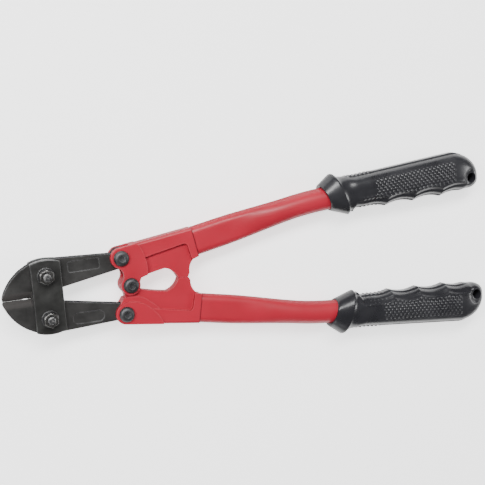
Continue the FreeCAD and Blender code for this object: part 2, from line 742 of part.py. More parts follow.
def grip_profile():
    """Sections of the grip: finger grooves and bumps along the inner edge, then the rounded end."""
    thick = SLEEVE_BORE + size("side_wall")
    pitch = size("finger_pitch")
    end = size("grip_end")
    last_groove = end - size("end_length")
    first_groove = last_groove - 3 * pitch

    def outer(x):
        swell = size("back_swell") * (x - first_groove) / (last_groove - first_groove)
        return height_at(x) + SLEEVE_BORE + size("back_wall") + swell

    def inner(x):
        swell = size("groove_swell") * (x - first_groove) / (last_groove - first_groove)
        return height_at(x) - SLEEVE_BORE - size("groove_wall") - swell

    neck = first_groove - size("neck_length") / 2
    sections = [(neck, outer(neck), inner(neck) - size("finger_height") / 2, thick)]
    for number in range(7):
        x = first_groove + number * pitch / 2
        bump = size("finger_height") if number % 2 else 0
        sections.append((x, outer(x), inner(x) - bump, thick))
    turns = (22, 40, 55, 68, 77)
    reach = size("end_length") / math.sin(math.radians(turns[-1]))
    nose = height_at(end) - size("nose_drop")
    heel = 8.5                  # length of the rounding between the inner edge and the end
    for degrees in turns:
        angle = math.radians(degrees)
        x = last_groove + reach * math.sin(angle)
        turn = max(0.0, 1 - (end - x + 0.5) / heel)
        sections.append((x, nose + (outer(last_groove) - nose) * math.cos(angle),
                         nose - (nose - inner(last_groove)) * math.sqrt(1 - turn ** 2),
                         thick * math.cos(angle)))
    return sections


# ---------------------------------------------------------------- fasteners

def hexagon(sketch, x, y, flats):
    """A hexagon with two corners along the tool."""
    corner = flats / math.sqrt(3)
    points = [turned(corner, 60 * number + 30, (x, y)) for number in range(7)]
    draw(sketch, points[0], *[(point,) for point in points[1:]])


def bolt(name, x, y, centre, face_text, grip_text, head_side):
    """A button-head bolt: head against one outer face, shank through to the nut's far side."""
    body = new_body(name)
    shank = new_sketch(body, name + "_shank_circle", lift="%d * %s" % (head_side, face_text))
    circle(shank, x, y, "Sizes.bolt_round / 2")
    pad(body, shank, name + "_shank", grip_text, reverse=head_side > 0)
    head = new_sketch(body, name + "_head_circle", lift="%d * %s" % (head_side, face_text))
    circle(head, x, y, "Sizes.head_round / 2")
    pad(body, head, name + "_head", "Sizes.head_high", reverse=head_side < 0)
    top = max(head_side * vertex.Z for vertex in body.Tip.Shape.Vertexes)
    soften(body, "Fillet", name + "_dome", "Sizes.dome_fillet",
           lambda edge: at_height(edge, top) and edge.BoundBox.ZMin * head_side > 0, "Radius")
    socket = new_sketch(body, name + "_socket_hexagon",
                        lift="%d * (%s + Sizes.head_high)" % (head_side, face_text))
    hexagon(socket, *centre, size("socket_flats"))
    cut(body, socket, name + "_socket", "Sizes.socket_deep", reverse=head_side < 0)
    return body


def nut(name, x, y, centre, start_text, nut_side):
    """A hexagon nut against an outer face, its corners rounded off on the free side."""
    body = new_body(name)
    blank = new_sketch(body, name + "_hexagon", lift="%d * (%s)" % (nut_side, start_text))
    hexagon(blank, *centre, size("nut_flats"))
    pad(body, blank, name + "_blank", "Sizes.nut_high", reverse=nut_side < 0)
    bore = new_sketch(body, name + "_bore_circle")
    circle(bore, x, y, "Sizes.bolt_round / 2 + Sizes.bolt_gap")
    cut(body, bore, name + "_bore")
    far = max(abs(vertex.Z - body.Placement.Base.z) for vertex in body.Shape.Vertexes)
    soften(body, "Chamfer", name + "_chamfer", "Sizes.nut_chamfer",
           lambda edge: at_height(edge, far) and edge.Length < 2 * size("bolt_round"), "Size")
    return body


def washer(name, x, y):
    """A flat washer under a jaw bolt's nut."""
    body = new_body(name)
    ring = new_sketch(body, name + "_ring", lift=PLATE_FACE_TEXT)
    circle(ring, x, y, "Sizes.washer_round / 2")
    circle(ring, x, y, "Sizes.bolt_round / 2 + Sizes.bolt_gap")
    pad(body, ring, name + "_disc", "Sizes.washer_thick")
    return body


def fasteners():
    """The five bolts with their nuts, and the washers of the two jaw bolts."""
    bodies = []
    plates = "2 * %s + Sizes.washer_thick + %s" % (PLATE_FACE_TEXT, NUT_STACK_TEXT)
    cheeks = "2 * %s + %s" % (CHEEK_FACE_TEXT, NUT_STACK_TEXT)
    for word, side in (("upper", 1), ("lower", -1)):
        x, y = "-Sizes.jaw_bolt_x", "%d * Sizes.jaw_bolt_y" % side
        centre = (JAW_BOLT[0], side * JAW_BOLT[1])
        bodies.append(bolt(word + "_jaw_bolt", x, y, centre, PLATE_FACE_TEXT, plates, -1))
        bodies.append(washer(word + "_jaw_washer", x, y))
        bodies.append(nut(word + "_jaw_nut", x, y, centre,
                          PLATE_FACE_TEXT + " + Sizes.washer_thick", 1))
    tail_x, tail_y = "-Sizes.tail_bolt_x", "Sizes.tail_bolt_y"
    places = (("upper_tail", tail_x, tail_y, TAIL_BOLT),
              ("lower_tail", tail_x, "-" + tail_y, (TAIL_BOLT[0], -TAIL_BOLT[1])),
              ("centre", "0 * " + tail_y, "0 * " + tail_y, (0.0, 0.0)))
    for word, x, y, centre in places:
        bodies.append(bolt(word + "_bolt", x, y, centre, CHEEK_FACE_TEXT, cheeks, 1))
        bodies.append(nut(word + "_nut", x, y, centre, CHEEK_FACE_TEXT, -1))
    return bodies


# ---------------------------------------------------------------- the whole tool

def build():
    bodies = [jaw("upper_jaw", 1), jaw("lower_jaw", -1),
              side_plate("front_side_plate", 1), side_plate("back_side_plate", -1),
              upper_head(), lower_head()]
    for word, side in (("upper", 1), ("lower", -1)):
        bodies.append(tube(word + "_tube", side))
        bodies.append(grip(word + "_grip", side))
    return bodies + fasteners()


def write(bodies):
    """Check every object, then write one file for each body."""
    doc.recompute()
    for item in doc.Objects:
        if "Invalid" in item.State or "Error" in item.State:
            raise RuntimeError("%s failed: %s" % (item.Name, item.State))
    os.makedirs("parts", exist_ok=True)
    for body in bodies:
        shape = body.Shape
        if shape.isNull() or not shape.isValid() or len(shape.Solids) != 1:
            raise RuntimeError("%s is not one valid solid" % body.Label)
        shape.exportStep("parts/%s.step" % body.Label)
        print(body.Label, round(shape.Volume, 1))


write(build())
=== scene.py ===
import math

import bmesh
import bpy
import numpy as np
from mathutils import Matrix, Vector


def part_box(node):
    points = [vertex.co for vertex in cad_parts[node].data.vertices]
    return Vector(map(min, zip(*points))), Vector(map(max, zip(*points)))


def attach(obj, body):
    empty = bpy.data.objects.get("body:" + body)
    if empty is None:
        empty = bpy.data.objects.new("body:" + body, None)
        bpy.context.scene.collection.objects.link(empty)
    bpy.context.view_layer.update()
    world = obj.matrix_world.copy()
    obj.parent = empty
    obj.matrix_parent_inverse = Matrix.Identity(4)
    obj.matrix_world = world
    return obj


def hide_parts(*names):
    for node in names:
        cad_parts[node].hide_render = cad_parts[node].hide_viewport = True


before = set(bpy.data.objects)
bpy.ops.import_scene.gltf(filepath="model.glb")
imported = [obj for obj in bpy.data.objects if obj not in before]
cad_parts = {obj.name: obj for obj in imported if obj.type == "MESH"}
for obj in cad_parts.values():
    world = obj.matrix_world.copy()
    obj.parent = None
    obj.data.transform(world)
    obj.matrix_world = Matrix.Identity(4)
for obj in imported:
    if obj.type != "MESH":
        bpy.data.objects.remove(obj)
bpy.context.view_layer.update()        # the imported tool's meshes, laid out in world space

mm = 0.001
fullTurn = 2 * math.pi


def middle(node):
    low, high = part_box(node)
    return (low + high) / 2


# Every shape below is drawn in millimetres about the centre bolt, with the tool's mid-plane at zero.
pivot = middle("centre_bolt")
pivot.z = (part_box("front_side_plate")[0].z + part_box("back_side_plate")[1].z) / 2
print("frame loaded, centre bolt at", [round(value, 5) for value in pivot])


# the tubes, in millimetres from the centre bolt; the lower one is mirrored
tubeShape = {
    "joint": (42.9, 21.2),          # where the axis leaves the head
    "leanAtHead": math.radians(11.1),
    "leanInGrip": math.radians(5.0),
    "straight": 66.32,
    "bendRadius": 218.0,
    "flatHalf": (9.25, 4.45),       # flattened section: half width, half thickness
    "roundRadius": 7.5,
    "wall": 1.5,
    "flatRun": 20.0,
    "endX": 227.8,
    "lip": 0.5,                     # rounding of the end against the head
    "taperEase": 4.0,               # the change of section starts and ends this far outside its run
    "ringPoints": 96,
    "rows": (150, 40),              # of points along the outside and the inside
}
# centre and radius of the hang hole in the upper grip
gripHole = (240.4966, 40.2761, 3.0)


# shared helpers

def inFrame(points):
    return np.asarray(points, float) * mm + np.array(pivot)


def fromBolt(node):
    # a node's box in millimetres from the centre bolt
    low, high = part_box(node)
    return (np.array(low) - pivot) / mm, (np.array(high) - pivot) / mm


def ease(values, start, end):
    # 0 before start, 1 after end, and a smooth S between them
    share = np.clip((np.asarray(values, float) - start) / (end - start), 0, 1)
    return share * share * (3 - 2 * share)


def between(values, run):
    # rises from 0 to 1 over the first two places of the run, and falls back over the last two
    return ease(values, run[0], run[1]) * (1 - ease(values, run[2], run[3]))


def ringAngles(count):
    return np.arange(count) * fullTurn / count


def gridFaces(rows, columns, closedAlong=False):
    # quads between neighbouring rows of points, each row a closed ring
    row = np.arange(rows if closedAlong else rows - 1)[:, None]
    column = np.arange(columns)[None, :]
    nextRow = (row + 1) % rows
    nextColumn = (column + 1) % columns
    corners = [row * columns + column, row * columns + nextColumn,
               nextRow * columns + nextColumn, nextRow * columns + column]
    return np.stack(np.broadcast_arrays(*corners), axis=-1).reshape(-1, 4)


def meshFrom(name, points, quads, extraFaces=()):
    # points in metres; whole arrays go into the mesh at once
    faces = [len(face) for face in extraFaces]
    starts = np.arange(len(quads)) * 4
    if faces:
        starts = np.concatenate([starts, len(quads) * 4 + np.cumsum([0] + faces[:-1])])
    loops = np.concatenate([quads.ravel()] + [np.asarray(face) for face in extraFaces])
    mesh = bpy.data.meshes.new(name)
    mesh.vertices.add(len(points))
    mesh.vertices.foreach_set("co", np.asarray(points, np.float32).ravel())
    mesh.loops.add(len(loops))
    mesh.loops.foreach_set("vertex_index", loops.astype(np.int32))
    mesh.polygons.add(len(starts))
    mesh.polygons.foreach_set("loop_start", starts.astype(np.int32))
    mesh.update(calc_edges=True)
    mesh.validate()
    return mesh


def outward(mesh):
    work = bmesh.new()
    work.from_mesh(mesh)
    bmesh.ops.remove_doubles(work, verts=work.verts, dist=1e-7)
    bmesh.ops.recalc_face_normals(work, faces=work.faces)
    work.to_mesh(mesh)
    work.free()
    return mesh


def ringsToMesh(name, rings, closedAlong=False):
    # rings: an array (rows, columns, 3) in millimetres; open ends are closed by one face each
    rows, columns = rings.shape[:2]
    quads = gridFaces(rows, columns, closedAlong)
    caps = []
    if not closedAlong:
        caps = [np.arange(columns)[::-1], (rows - 1) * columns + np.arange(columns)]
    return outward(meshFrom(name, inFrame(rings.reshape(-1, 3)), quads, caps))


def finishPiece(mesh, name, material, body, nodes, sharpDegrees=35):
    piece = bpy.data.objects.new(name, mesh)
    bpy.context.collection.objects.link(piece)
    mesh.shade_smooth()
    mesh.set_sharp_from_angle(angle=math.radians(sharpDegrees))
    mesh.materials.clear()
    mesh.materials.append(material)
    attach(piece, body)
    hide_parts(*nodes)
    return piece


# materials

# nearly all of a noise pattern lies between these
noiseRange = (0.3, 0.7)


def newMaterial(name):
    material = bpy.data.materials.new(name)
    material.use_nodes = True
    nodes = material.node_tree.nodes
    return material, nodes["Principled BSDF"], nodes.new("ShaderNodeTexCoord").outputs["Object"]


def noise(material, vector, scale, detail=4.0, roughness=0.55, stretch=None):
    # a noise pattern in Object coordinates; scale is in waves per metre
    tree = material.node_tree
    if stretch is not None:
        mapping = tree.nodes.new("ShaderNodeMapping")
        mapping.inputs["Scale"].default_value = stretch
        tree.links.new(vector, mapping.inputs["Vector"])
        vector = mapping.outputs["Vector"]
    texture = tree.nodes.new("ShaderNodeTexNoise")
    texture.inputs["Scale"].default_value = scale
    texture.inputs["Detail"].default_value = detail
    texture.inputs["Roughness"].default_value = roughness
    tree.links.new(vector, texture.inputs["Vector"])
    return texture.outputs["Fac"]


def remap(material, value, fromLow, fromHigh, toLow, toHigh):
    node = material.node_tree.nodes.new("ShaderNodeMapRange")
    for key, number in (("From Min", fromLow), ("From Max", fromHigh), ("To Min", toLow),
                        ("To Max", toHigh)):
        node.inputs[key].default_value = number
    material.node_tree.links.new(value, node.inputs["Value"])
    return node.outputs["Result"]


def combine(material, operation, first, second):
    # a Math node; either side may be a socket or a number
    node = material.node_tree.nodes.new("ShaderNodeMath")
    node.operation = operation
    for socket, value in zip(node.inputs, (first, second)):
        if hasattr(value, "is_linked"):
            material.node_tree.links.new(value, socket)
        else:
            socket.default_value = value
    return node.outputs["Value"]


def blendColours(material, factor, first, second):
    # first where the factor is 0, second where it is 1; either may be a socket or a colour
    node = material.node_tree.nodes.new("ShaderNodeMix")
    node.data_type = "RGBA"
    material.node_tree.links.new(factor, node.inputs["Factor"])
    for socket, value in ((node.inputs["A"], first), (node.inputs["B"], second)):
        socket = next(found for found in node.inputs
                      if found.name == socket.name and found.type == "RGBA")
        if hasattr(value, "is_linked"):
            material.node_tree.links.new(value, socket)
        else:
            socket.default_value = (*value, 1.0)
    return next(found for found in node.outputs if found.type == "RGBA")


def blendValues(material, factor, first, second):
    # first + (second - first) * factor, for a number
    step = combine(material, "MULTIPLY", combine(material, "SUBTRACT", second, first), factor)
    return combine(material, "ADD", first, step)


def partOf(material, vector, axis):
    separate = material.node_tree.nodes.new("ShaderNodeSeparateXYZ")
    material.node_tree.links.new(vector, separate.inputs["Vector"])
    return separate.outputs[axis]


masks = {
    "sideTurn": (0.25, 0.7),        # upright part of the normal on a side and on a flat
    "edgeTurn": (0.995, 0.86),      # product of rounded and true normal off an edge and on it
    "edgeSamples": 6,
}


def sideMask(material):
    # 1 where a face stands on edge, 0 where it lies flat; red enamel and forged steel paint shade on
    # those sides
    geometry = material.node_tree.nodes.new("ShaderNodeNewGeometry")
    upright = combine(material, "ABSOLUTE", partOf(material, geometry.outputs["Normal"], "Z"), 0.0)
    return remap(material, upright, *masks["sideTurn"], 1.0, 0.0)


def edgeMask(material, radius):
    # 1 on edges, for wear and, on the red enamel, a painted highlight: where the surface turns
    # within the radius, its rounded normal leaves the true one, and the product of the two falls
    tree = material.node_tree
    bevel = tree.nodes.new("ShaderNodeBevel")
    bevel.samples = masks["edgeSamples"]
    bevel.inputs["Radius"].default_value = radius
    geometry = tree.nodes.new("ShaderNodeNewGeometry")
    dot = tree.nodes.new("ShaderNodeVectorMath")
    dot.operation = "DOT_PRODUCT"
    tree.links.new(bevel.outputs["Normal"], dot.inputs[0])
    tree.links.new(geometry.outputs["Normal"], dot.inputs[1])
    return remap(material, dot.outputs["Value"], *masks["edgeTurn"], 0.0, 1.0)


def ripples(material, place, layers):
    # noise layers for bump, each given as waves per metre, strength and depth in metres
    return [(noise(material, place, waves, detail=2.0), strength, depth)
            for waves, strength, depth in layers]


def bump(material, shader, heights):
    # heights: (socket, strength, distance in metres), laid one over the other
    tree = material.node_tree
    normal = None
    for height, strength, distance in heights:
        node = tree.nodes.new("ShaderNodeBump")
        node.inputs["Strength"].default_value = strength
        node.inputs["Distance"].default_value = distance
        tree.links.new(height, node.inputs["Height"])
        if normal is not None:
            tree.links.new(normal, node.inputs["Normal"])
        normal = node.outputs["Normal"]
    tree.links.new(normal, shader.inputs["Normal"])


enamel = {
    "colour": (0.37, 0.0125, 0.029),
    "deep": (0.32, 0.0090, 0.022),      # thicker paint, in patches
    "edge": (0.50, 0.055, 0.075),       # thin paint over the edges, and a painted highlight along them
    "side": (0.25, 0.0075, 0.017),      # painted shade on the sides, darker where they stand on edge
    "roughness": (0.36, 0.48),
    "sideRough": 0.62,
    "coat": 0.06,
    "coatRoughness": 0.18,
    "mirror": 0.40,                     # strength of the sheen, 0.5 being plain gloss paint
    "sideMirror": 0.4,                  # share of it left on the sides
    "patchWaves": 45.0,                 # waves are per metre here and below
    "patchSpread": (0.35, 0.7),
    "glossWaves": 180.0,
    "wear": 0.7,
    "wearWaves": 260.0,
    "wearSpread": (0.3, 0.6),
    "wearLeast": 0.35,                  # share of the wear left where it is faintest
    "edgeReach": 0.0010,
    "peel": ((700.0, 0.25, 0.0001), (120.0, 0.25, 0.0002)),     # orange peel, fine and coarse
    "jointShade": (0.10, 0.004, 0.008),       # painted shade in the joint of head and tube
    "jointShadeHalf": 0.00038,
    "jointShadeDark": 0.9,
}


def jointShadeMask(material, place):
    # 1 on the plane where each tube meets its head, square to the tube, falling to 0 beside it; the red
    # enamel paints shade in the joint with it
    lean = tubeShape["leanAtHead"]
    jointX, jointY = tubeShape["joint"]
    centre = pivot + Vector((jointX, 0, 0)) * mm
    rise = combine(material, "SUBTRACT", partOf(material, place, "Y"), centre.y)
    rise = combine(material, "SUBTRACT", combine(material, "ABSOLUTE", rise, 0.0), jointY * mm)
    run = combine(material, "SUBTRACT", partOf(material, place, "X"), centre.x)
    away = combine(material, "ADD", combine(material, "MULTIPLY", run, math.cos(lean)),
                   combine(material, "MULTIPLY", rise, math.sin(lean)))
    away = combine(material, "ABSOLUTE", away, 0.0)
    half = enamel["jointShadeHalf"]
    return remap(material, away, half * 0.5, half * 1.5, enamel["jointShadeDark"], 0.0)


def redEnamel():
    material, shader, place = newMaterial("red_enamel")
    link = material.node_tree.links.new
    patches = noise(material, place, enamel["patchWaves"], detail=3.0)
    body = blendColours(material, remap(material, patches, *enamel["patchSpread"], 0.0, 1.0),
                        enamel["colour"], enamel["deep"])
    flakes = remap(material, noise(material, place, enamel["wearWaves"]), *enamel["wearSpread"],
                   enamel["wearLeast"], 1.0)
    worn = combine(material, "MULTIPLY", edgeMask(material, enamel["edgeReach"]), flakes)
    worn = combine(material, "MULTIPLY", worn, enamel["wear"])
    # painted shade: faces standing on edge are darkened towards the side colour
    shadedSides = sideMask(material)
    body = blendColours(material, shadedSides, body, enamel["side"])
    # edges lightened: thin paint over them, and a painted highlight along them
    shade = blendColours(material, worn, body, enamel["edge"])
    # painted shade in the joint of each tube and its head
    link(blendColours(material, jointShadeMask(material, place), shade, enamel["jointShade"]),
         shader.inputs["Base Color"])
    gloss = remap(material, noise(material, place, enamel["glossWaves"]), *noiseRange,
                  *enamel["roughness"])
    link(blendValues(material, shadedSides, gloss, enamel["sideRough"]), shader.inputs["Roughness"])
    link(remap(material, shadedSides, 0.0, 1.0, enamel["mirror"], enamel["mirror"] * enamel["sideMirror"]),
         shader.inputs["Specular IOR Level"])
    shader.inputs["Coat Weight"].default_value = enamel["coat"]
    shader.inputs["Coat Roughness"].default_value = enamel["coatRoughness"]
    bump(material, shader, ripples(material, place, enamel["peel"]))
    return material


# colours and finish of each kind of steel; scale is the depth of its grain in metres, and side is
# painted shade for the sides of the forged jaws
steel = {
    "forged": {"dark": (0.0165, 0.0160, 0.0155), "pale": (0.034, 0.033, 0.032),
               "worn": (0.22, 0.22, 0.225), "roughness": (0.46, 0.62), "metal": 0.40,
               "scale": 0.00012, "wear": 0.75, "side": (0.009, 0.009, 0.009)},
    "plate": {"dark": (0.029, 0.029, 0.028), "pale": (0.050, 0.050, 0.048),
              "worn": (0.30, 0.30, 0.31), "roughness": (0.34, 0.50), "metal": 0.6,
              "scale": 0.00006, "wear": 0.85},
    "bolt": {"dark": (0.048, 0.049, 0.051), "pale": (0.080, 0.081, 0.084),
             "worn": (0.30, 0.30, 0.31), "roughness": (0.40, 0.54), "metal": 0.85,
             "scale": 0.00003, "wear": 0.7},
    "nut": {"dark": (0.045, 0.044, 0.043), "pale": (0.10, 0.098, 0.095),
            "worn": (0.55, 0.54, 0.52), "roughness": (0.24, 0.40), "metal": 0.9,
            "scale": 0.00003, "wear": 0.9},
    "washer": {"dark": (0.045, 0.045, 0.046), "pale": (0.09, 0.09, 0.092),
               "worn": (0.34, 0.34, 0.34), "roughness": (0.32, 0.46), "metal": 0.85,
               "scale": 0.00003, "wear": 0.8},
}
# what all the steels share
oxide = {
    "cloudWaves": 90.0,
    "cloudSpread": (0.35, 0.68),
    "cloudBump": 0.3,
    "grainWaves": 900.0,
    "grainBump": 0.5,
    "edgeReach": 0.0008,
    "wearWaves": 320.0,
    "wearSpread": (0.32, 0.6),
    "wearLeast": 0.15,
    "sideRough": 0.85,
    "mirror": (0.5, 0.15),              # strength of the sheen, on flat faces and on the sides
}
ground = {
    "front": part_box("front_side_plate")[0].x,   # the bevels show in front of the side plate
    "frontSoft": 0.0004,
    "width": 4.4 * mm,                  # of each bevel, from the cutting edge
    "widthSoft": 0.0002,
    "colour": (0.034, 0.030, 0.029),
    "roughness": 0.72,
    "scratchWaves": 60.0,
    "scratchStretch": (45.0, 1.0, 1.0),
    "scratchLeast": 0.35,
    "scratchBump": (0.35, 0.00005),
}
boltEnds = {
    "from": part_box("upper_jaw_nut")[1].z,       # bright above the nut
    "soft": 0.0003,
    "colour": (0.24, 0.235, 0.23),
    "speckWaves": 1100.0,
    "speckSpread": (0.46, 0.62),
    "speckBump": (0.6, 0.00018),
}


def groundMask(material, place):
    # 1 on the ground bevels: in front of the side plate and near the cutting edge
    front, width, soft = ground["front"], ground["width"], ground["widthSoft"]
    along = remap(material, partOf(material, place, "X"), front, front + ground["frontSoft"], 1.0, 0.0)
    across = combine(material, "ABSOLUTE", partOf(material, place, "Y"), 0.0)
    near = remap(material, across, width - soft, width + soft, 1.0, 0.0)
    return combine(material, "MULTIPLY", along, near)


def blackSteel(name, values, hasBevels=False, hasBrightEnd=False):
    # forge scale under a black oxide, worn pale along the edges
    material, shader, place = newMaterial(name)
    link = material.node_tree.links.new
    clouds = noise(material, place, oxide["cloudWaves"], detail=5.0)
    grain = noise(material, place, oxide["grainWaves"], detail=3.0)
    colour = blendColours(material, remap(material, clouds, *oxide["cloudSpread"], 0.0, 1.0),
                          values["dark"], values["pale"])
    flakes = remap(material, noise(material, place, oxide["wearWaves"]), *oxide["wearSpread"],
                   oxide["wearLeast"], 1.0)
    worn = combine(material, "MULTIPLY", edgeMask(material, oxide["edgeReach"]), flakes)
    worn = combine(material, "MULTIPLY", worn, values["wear"])
    rough = remap(material, clouds, *noiseRange, *values["roughness"])
    if "side" in values:
        # painted shade: the outline's sides darkened, with duller and rougher scale
        shadedSides = sideMask(material)
        colour = blendColours(material, shadedSides, colour, values["side"])
        rough = blendValues(material, shadedSides, rough, oxide["sideRough"])
        link(remap(material, shadedSides, 0.0, 1.0, *oxide["mirror"]), shader.inputs["Specular IOR Level"])
    colour = blendColours(material, worn, colour, values["worn"])
    heights = [(grain, oxide["grainBump"], values["scale"]),
               (clouds, oxide["cloudBump"], values["scale"] * 2)]
    if hasBevels:
        # paler, smoother, and scratched across the cutting edge
        mask = groundMask(material, place)
        scratches = noise(material, place, ground["scratchWaves"], detail=6.0, roughness=0.7,
                          stretch=ground["scratchStretch"])
        polish = combine(material, "MULTIPLY", mask,
                         remap(material, scratches, *noiseRange, ground["scratchLeast"], 1.0))
        colour = blendColours(material, polish, colour, ground["colour"])
        heights.append((combine(material, "MULTIPLY", mask, scratches), *ground["scratchBump"]))
        rough = blendValues(material, mask, rough, ground["roughness"])
    if hasBrightEnd:
        start = boltEnds["from"]
        ends = remap(material, partOf(material, place, "Z"), start, start + boltEnds["soft"], 0.0, 1.0)
        specks = noise(material, place, boltEnds["speckWaves"], detail=3.0)
        heights.append((specks, *boltEnds["speckBump"]))
        mottled = combine(material, "MULTIPLY", ends,
                          remap(material, specks, *boltEnds["speckSpread"], 0.0, 1.0))
        colour = blendColours(material, mottled, colour, boltEnds["colour"])
    link(colour, shader.inputs["Base Color"])
    link(rough, shader.inputs["Roughness"])
    shader.inputs["Metallic"].default_value = values["metal"]
    bump(material, shader, heights)
    return material


vinyl = {
    "colour": (0.0110, 0.0110, 0.0135),
    "dusty": (0.019, 0.019, 0.022),
    "dustWaves": 70.0,
    "dustSpread": (0.35, 0.7),
    "roughness": (0.24, 0.35),
    "mirror": 0.5,                      # strength of the sheen on flat faces
    "sideDull": 0.5,                    # share of it lost on the sides
    "pebble": ((1300.0, 0.2, 0.00005), (150.0, 0.2, 0.00012)),
    "boreReach": 3.5,                   # the hang hole is matt this far from its axis, in millimetres
    "boreSoft": 0.92,                   # share of that where the matt begins to fade
    "boreRough": 0.95,
}


def boreMask(material, place):
    # 1 inside the hang hole of either grip, from the squared distance to its axis
    holeX, holeY = gripHole[:2]
    along = combine(material, "SUBTRACT", partOf(material, place, "X"), pivot.x + holeX * mm)
    rise = combine(material, "SUBTRACT", partOf(material, place, "Y"), pivot.y)
    rise = combine(material, "SUBTRACT", combine(material, "ABSOLUTE", rise, 0.0), holeY * mm)
    square = combine(material, "ADD", combine(material, "MULTIPLY", along, along),
                     combine(material, "MULTIPLY", rise, rise))
    reach = vinyl["boreReach"] * mm
    return remap(material, square, (reach * vinyl["boreSoft"]) ** 2, reach ** 2, 1.0, 0.0)


def gripVinyl():
    material, shader, place = newMaterial("grip_vinyl")
    link = material.node_tree.links.new
    clouds = noise(material, place, vinyl["dustWaves"], detail=4.0)
    link(blendColours(material, remap(material, clouds, *vinyl["dustSpread"], 0.0, 1.0),
                      vinyl["colour"], vinyl["dusty"]), shader.inputs["Base Color"])
    inside = boreMask(material, place)
    gloss = remap(material, clouds, *noiseRange, *vinyl["roughness"])
    link(blendValues(material, inside, gloss, vinyl["boreRough"]), shader.inputs["Roughness"])
    dull = combine(material, "MULTIPLY", sideMask(material), vinyl["sideDull"])
    dull = combine(material, "MAXIMUM", inside, dull)
    link(remap(material, dull, 0.0, 1.0, vinyl["mirror"], 0.0), shader.inputs["Specular IOR Level"])
    bump(material, shader, ripples(material, place, vinyl["pebble"]))
    return material


redPaint = redEnamel()
forgedSteel = blackSteel("forged_steel", steel["forged"], hasBevels=True)
plateSteel = blackSteel("plate_steel", steel["plate"])
boltSteel = blackSteel("bolt_steel", steel["bolt"], hasBrightEnd=True)
nutSteel = blackSteel("nut_steel", steel["nut"])
washerSteel = blackSteel("washer_steel", steel["washer"])
blackVinyl = gripVinyl()
print("materials made")


# tubes

def tubeAxis(distance):
    # a straight run, an arc that turns back, and a straight run: points, and lean from the X axis
    shape = tubeShape
    first, last = shape["leanAtHead"], shape["leanInGrip"]
    radius = shape["bendRadius"]
    bend = radius * (first - last)
    run = np.minimum(distance, shape["straight"])
    turn = np.clip(distance - shape["straight"], 0, bend) / radius
    lean = first - turn
    rest = np.maximum(distance - shape["straight"] - bend, 0)
    x = shape["joint"][0] + run * math.cos(first) + radius * (math.sin(first) - np.sin(lean))
    y = shape["joint"][1] + run * math.sin(first) + radius * (np.cos(lean) - math.cos(first))
    return x + rest * math.cos(last), y + rest * math.sin(last), lean


def bendEnd():
    # how far along the axis the arc ends
    shape = tubeShape
    return shape["straight"] + shape["bendRadius"] * (shape["leanAtHead"] - shape["leanInGrip"])


def gripLine(x):
    # height of the tube's last straight run at x, carried on past both its ends
    startX, startY, lean = tubeAxis(np.array(bendEnd()))
    return startY + (x - startX) * math.tan(float(lean))


def tubeSection(share, inset, turns):
    # a flattened section that turns round as share goes from 0 to 1: each quarter of the ring is a
    # flat or a half circle on the first and a quarter circle on the second, mixed in a straight line
    halfWide, halfThick = tubeShape["flatHalf"]
    quarter = np.floor(turns / (math.pi / 2)).astype(int) % 4
    part = (turns / (math.pi / 2)) % 1
    flat = halfWide - halfThick
    radius = halfThick - inset
    bulge = -math.pi / 2 + math.pi * part
    flatX = np.choose(quarter, [flat + radius * np.cos(bulge), flat - 2 * flat * part,
                                -flat - radius * np.cos(bulge), -flat + 2 * flat * part])
    flatY = np.choose(quarter, [radius * np.sin(bulge), radius + 0 * part,
                                -radius * np.sin(bulge), -radius + 0 * part])
    around = -math.pi / 4 + turns
    roundRadius = tubeShape["roundRadius"] - inset
    mix = share[:, None]
    return (flatX * (1 - mix) + roundRadius * np.cos(around) * mix,
            flatY * (1 - mix) + roundRadius * np.sin(around) * mix)


def tubePiece(side, name, body):
    # the section carried along the axis outside, over the end, back inside and over the lip
    shape = tubeShape
    turns = ringAngles(shape["ringPoints"])
    outerRows, innerRows = shape["rows"]
    bendX = float(tubeAxis(np.array(bendEnd()))[0])
    end = bendEnd() + (shape["endX"] - bendX) / math.cos(shape["leanInGrip"])
    lip = shape["lip"]
    curl = np.linspace(0, math.pi / 2, 5)
    distance = np.concatenate([lip - lip * np.sin(curl[::-1]), np.linspace(lip, end, outerRows)[1:],
                               np.linspace(end, 0, innerRows)])
    inset = np.concatenate([lip - lip * np.cos(curl[::-1]), np.zeros(outerRows - 1),
                            np.full(innerRows, shape["wall"])])[:, None]
    x, y, lean = tubeAxis(distance)
    share = ease(distance, shape["flatRun"] - shape["taperEase"], shape["straight"] + shape["taperEase"])
    across, thick = tubeSection(share, inset, turns)
    rings = np.stack([x[:, None] - across * np.sin(lean)[:, None],
                      side * (y[:, None] + across * np.cos(lean)[:, None]), thick], axis=-1)
    mesh = ringsToMesh(name, rings, closedAlong=True)
    return finishPiece(mesh, name, redPaint, body, [name])


# grips

